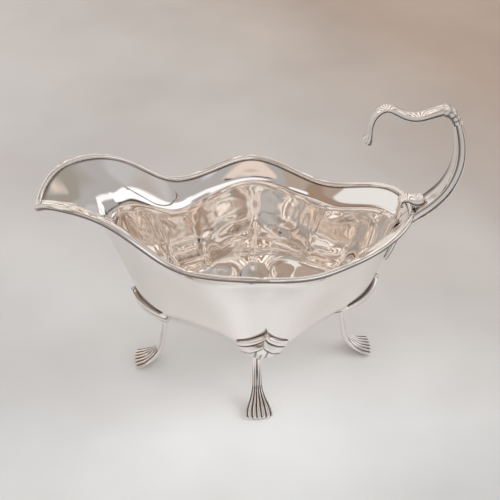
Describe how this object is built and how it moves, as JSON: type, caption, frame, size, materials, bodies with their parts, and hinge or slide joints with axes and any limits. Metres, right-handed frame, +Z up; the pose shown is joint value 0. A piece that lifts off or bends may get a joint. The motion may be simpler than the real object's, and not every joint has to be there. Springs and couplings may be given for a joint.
{
  "type": "sauce boat",
  "caption": "Silver sauce boat with a lozenge bowl, long raised spout, wired wavy rim, splayed fan feet on knee plates and a flying scroll handle.",
  "frame": {"origin": "middle of the bounding box in plan, on the table that the four feet stand on", "axes": "+X towards the handle, so the spout points to -X; +Y to the boat's left side; +Z up"},
  "size_m": [0.1836, 0.089, 0.1385],
  "materials": {
    "polished_silver": "hand-polished sterling silver sheet and wire",
    "cast_silver": "cast and chased silver, polished, darker in its grooves"
  },
  "bodies": {
    "root": {"body": "polished_silver", "rim_wire": "polished_silver", "leg_front": "cast_silver", "leg_back": "cast_silver", "leg_left": "cast_silver", "leg_right": "cast_silver", "knee_plate_front": "cast_silver", "knee_plate_back": "cast_silver", "knee_plate_left": "cast_silver", "knee_plate_right": "cast_silver", "handle_stem": "cast_silver", "handle_knuckle": "cast_silver", "handle_flying_scroll": "cast_silver", "rim_leaf": "cast_silver"}
  },
  "joints": []
}
